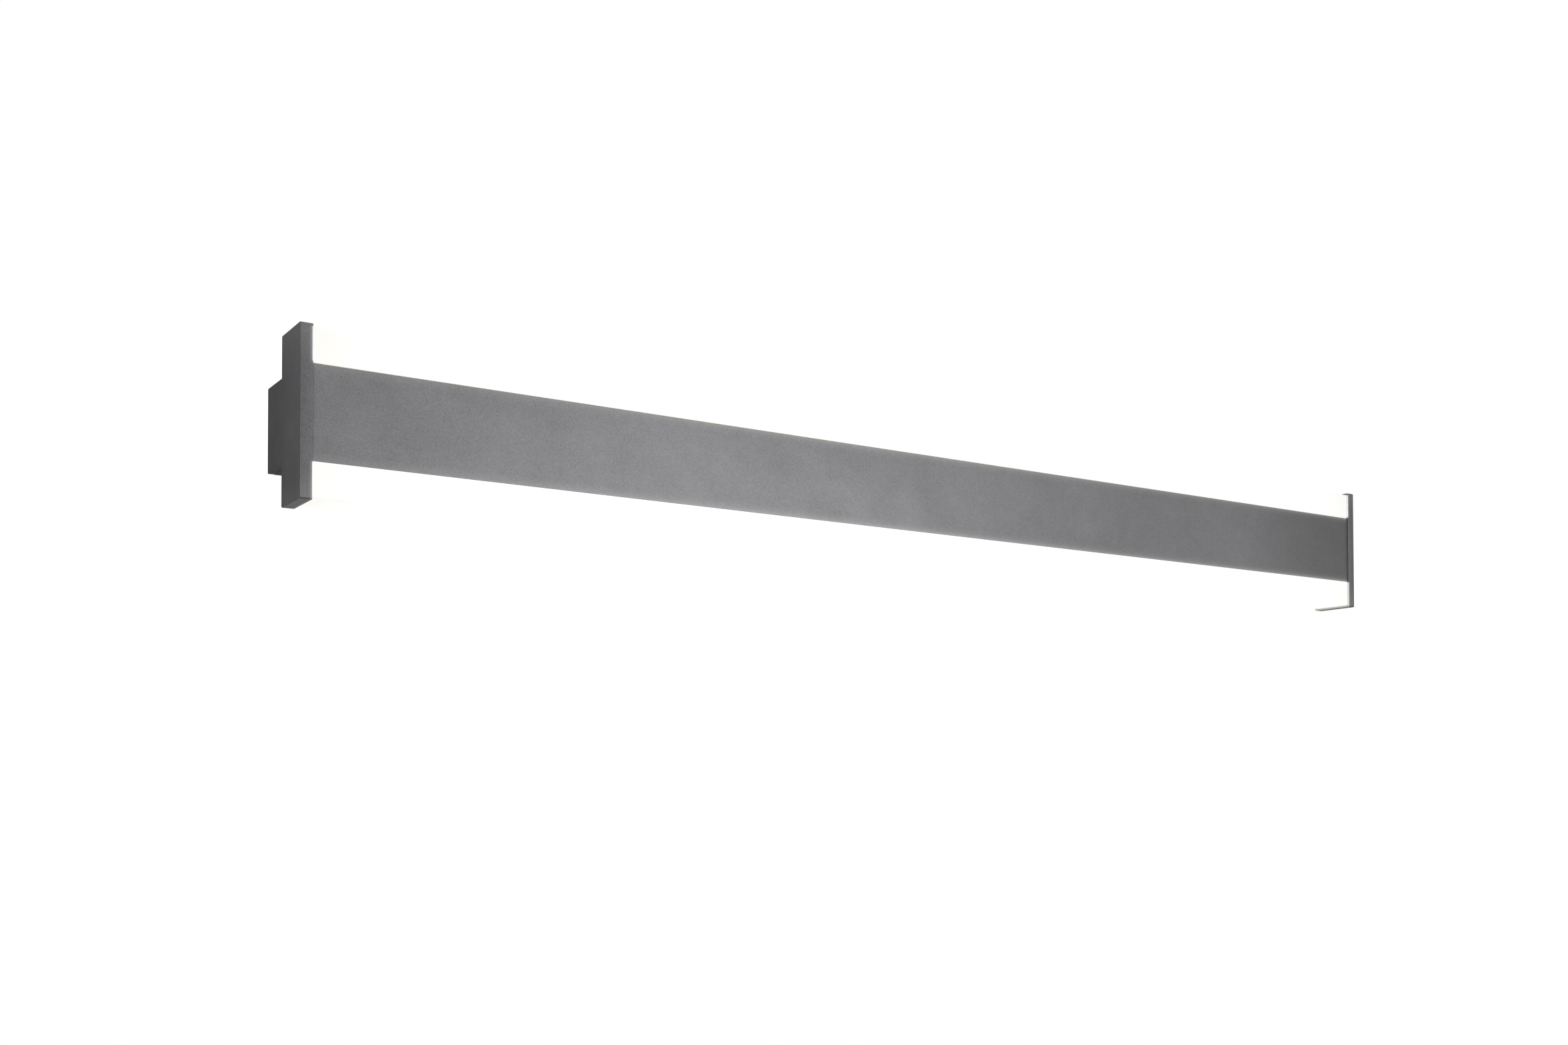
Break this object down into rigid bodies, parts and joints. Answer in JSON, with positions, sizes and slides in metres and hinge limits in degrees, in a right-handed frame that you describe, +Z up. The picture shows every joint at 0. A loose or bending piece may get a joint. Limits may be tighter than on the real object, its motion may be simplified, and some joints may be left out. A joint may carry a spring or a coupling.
{
  "type": "linear wall light",
  "caption": "Long horizontal wall light: opal diffusers above and below a flat metal band, between T-shaped end plates, on a slim stem that slides over a wall plate.",
  "frame": {"origin": "centre of the wall plate's back face, which lies on the wall", "axes": "X along the light, +Y into the wall, so the light stands out along -Y, and +Z up"},
  "size_m": [1, 0.0695, 0.108],
  "materials": {
    "anthracite_metal": "fine matt powder coat",
    "opal_plastic": "lit opal, satin",
    "bare_aluminium": "extruded, natural",
    "zinc_steel": "zinc plated",
    "black_rubber": "matt",
    "white_plastic": "fine spark texture",
    "grey_plastic": "smooth",
    "orange_plastic": "smooth",
    "white_board": "solder mask on an aluminium strip",
    "brown_lead": "insulation",
    "blue_lead": "insulation",
    "green_yellow_lead": "insulation",
    "white_lead": "insulation"
  },
  "bodies": {
    "wall_bracket": {"wall_plate": "zinc_steel", "cable_grommet": "black_rubber"},
    "luminaire": {"end_plate_left": "anthracite_metal", "end_plate_right": "anthracite_metal", "end_plate_screw_left_upper": "zinc_steel", "end_plate_screw_left_lower": "zinc_steel", "end_plate_screw_right_upper": "zinc_steel", "end_plate_screw_right_lower": "zinc_steel", "rear_housing": "anthracite_metal", "core_profile": "bare_aluminium", "chassis_screw_1": "zinc_steel", "chassis_screw_2": "zinc_steel", "chassis_screw_3": "zinc_steel", "chassis_screw_4": "zinc_steel", "front_band": "anthracite_metal", "diffuser_upper": "opal_plastic", "diffuser_lower": "opal_plastic", "light_board_upper": "white_board", "light_board_lower": "white_board", "locking_screw_upper_1": "zinc_steel", "locking_screw_lower_1": "zinc_steel", "locking_screw_upper_2": "zinc_steel", "locking_screw_lower_2": "zinc_steel", "light_driver": "white_plastic", "driver_screw_1": "zinc_steel", "driver_screw_2": "zinc_steel", "terminal_block": "grey_plastic", "terminal_screw_1": "zinc_steel", "terminal_screw_2": "zinc_steel", "lever_pin": "zinc_steel", "lead_bush": "black_rubber", "earth_lug": "zinc_steel", "earth_screw": "zinc_steel", "live_lead": "brown_lead", "neutral_lead": "blue_lead", "earth_lead": "green_yellow_lead", "board_lead_upper": "white_lead", "board_lead_lower": "white_lead"},
    "live_lever_arm": {"live_lever": "orange_plastic"},
    "neutral_lever_arm": {"neutral_lever": "orange_plastic"},
    "earth_lever_arm": {"earth_lever": "orange_plastic"}
  },
  "joints": [
    {"name": "lift_off", "type": "slide", "parent": "wall_bracket", "child": "luminaire", "axis": [0, -1, 0], "range_m": [0, 0.04]},
    {"name": "live_lever_hinge", "type": "hinge", "parent": "luminaire", "child": "live_lever_arm", "pos_m": [0.113, -0.0165, 0.008], "axis": [1, 0, 0], "range_deg": [0, 85]},
    {"name": "neutral_lever_hinge", "type": "hinge", "parent": "luminaire", "child": "neutral_lever_arm", "pos_m": [0.12, -0.0165, 0.008], "axis": [1, 0, 0], "range_deg": [0, 85]},
    {"name": "earth_lever_hinge", "type": "hinge", "parent": "luminaire", "child": "earth_lever_arm", "pos_m": [0.127, -0.0165, 0.008], "axis": [1, 0, 0], "range_deg": [0, 85]}
  ]
}
